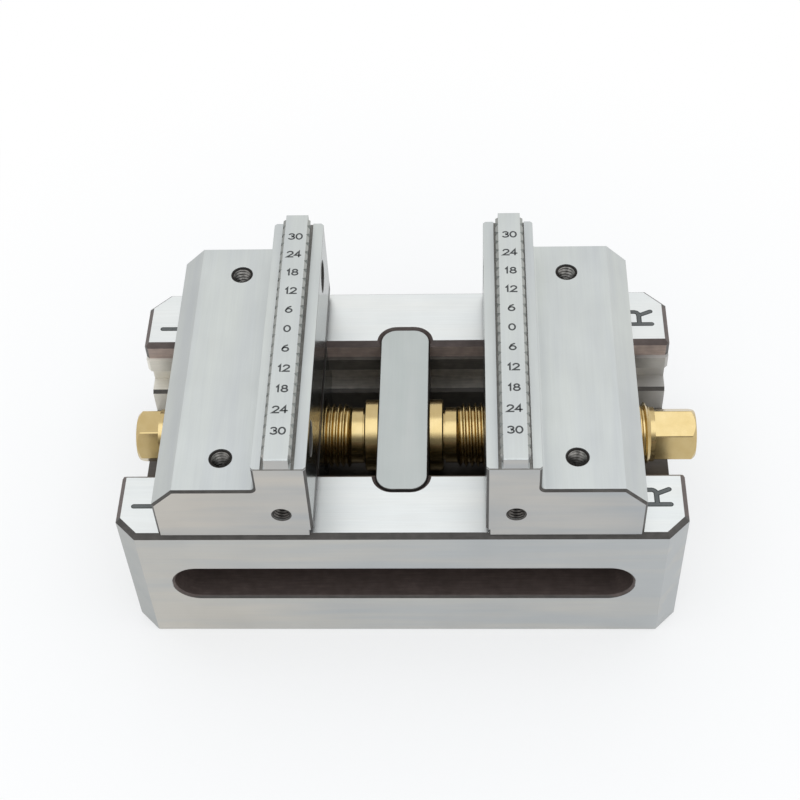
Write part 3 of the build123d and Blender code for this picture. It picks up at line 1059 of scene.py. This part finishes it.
def build_world():
    """Even studio light, white where it is seen. Gloss sees the flag and less light from the left."""
    world = bpy.data.worlds.new("studio")
    bpy.context.scene.world = world
    world.use_nodes = True
    tree = world.node_tree
    tree.nodes.clear()
    paths = add(tree, "ShaderNodeLightPath")
    direction = add(tree, "ShaderNodeTexCoord").outputs["Generated"]
    nearness = add(
        tree, "ShaderNodeVectorMath", {0: direction, 1: FLAG_WAY}, operation="DOT_PRODUCT"
    ).outputs["Value"]
    past_flag = add(
        tree,
        "ShaderNodeMapRange",
        {
            "Value": nearness,
            "From Min": FLAG_RIM[0],
            "From Max": FLAG_RIM[1],
            "To Min": 1.0,
            "To Max": FLAG_LIGHT,
        },
        interpolation_type="SMOOTHSTEP",
    ).outputs["Result"]
    sideways = add(tree, "ShaderNodeSeparateXYZ", {0: direction}).outputs["X"]
    from_left = add(
        tree,
        "ShaderNodeMapRange",
        {"Value": sideways, "From Min": LEFT_FADE[0], "From Max": LEFT_FADE[1], "To Min": LEFT_LIGHT},
    ).outputs["Result"]
    gloss = add(tree, "ShaderNodeMath", {0: past_flag, 1: from_left}, operation="MULTIPLY").outputs[0]
    light = add(tree, "ShaderNodeBackground", {"Color": linear("#f6f8fa"), "Strength": 0.9}).outputs[0]
    mirrored = add(
        tree, "ShaderNodeBackground", {"Color": linear("#ffffff"), "Strength": gloss}
    ).outputs[0]
    white = add(tree, "ShaderNodeBackground", {"Color": linear("#ffffff"), "Strength": 1.0}).outputs[0]
    reflected = any_of(tree, paths.outputs["Is Glossy Ray"], paths.outputs["Is Transmission Ray"])
    shader = layered(tree, light, (reflected, mirrored), (paths.outputs["Is Camera Ray"], white))
    add(tree, "ShaderNodeOutputWorld", {"Surface": shader})


def build_softbox():
    """One large soft lamp over the vise, a little to the front."""
    lamp = bpy.data.lights.new("softbox_above", "AREA")
    lamp.shape = "RECTANGLE"
    lamp.size, lamp.size_y = SOFTBOX_SIZE
    lamp.energy = SOFTBOX_WATTS
    lamp.color = SOFTBOX_COLOUR
    holder = bpy.data.objects.new("softbox_above", lamp)
    bpy.context.scene.collection.objects.link(holder)
    holder.location = SOFTBOX_PLACE
    holder.rotation_euler = Vector((0, 0, -1)).to_track_quat("-Z", "Y").to_euler()


def build_camera():
    camera = bpy.data.cameras.new("camera")
    camera.sensor_width = 36.0
    camera.lens = CAMERA_LENS
    camera.clip_start, camera.clip_end = 0.01, 10.0
    holder = bpy.data.objects.new("camera", camera)
    bpy.context.scene.collection.objects.link(holder)
    turn = Matrix((CAMERA_RIGHT, CAMERA_UP, -CAMERA_FORWARD)).transposed().to_4x4()
    holder.matrix_world = Matrix.Translation(CAMERA_PLACE) @ turn
    bpy.context.scene.camera = holder


def main():
    jaw_metal = jaw_steel()
    screw_metal = black_oxide()
    dress_node("base_body", base_steel())
    dress_node("left_jaw", jaw_metal)
    dress_node("right_jaw", jaw_metal)
    dress_node("centre_block", block_steel())
    dress_node("front_block_screw", screw_metal)
    dress_node("rear_block_screw", screw_metal)
    build_spindle(gold_coating())
    build_tapped_walls(
        tapped_steel("oiled_tapped_steel_painted_light", *STEP_THREAD),
        tapped_steel("blackened_tapped_steel_painted_light", *END_THREAD),
    )
    number_paint = groove_paint_and_shade("black_number_paint", NUMBER_PAINT)
    build_bar_scale("left", number_paint)
    build_bar_scale("right", number_paint)
    build_rail_letters(
        groove_paint_and_shade("groove_edge_painted_shade", LETTER_EDGE_SHADE),
        groove_paint_and_shade("grey_groove_floor", LETTER_FLOOR_PAINT),
    )
    build_floor()
    build_world()
    build_softbox()
    build_camera()
    bpy.context.scene.view_settings.view_transform = "Standard"


main()
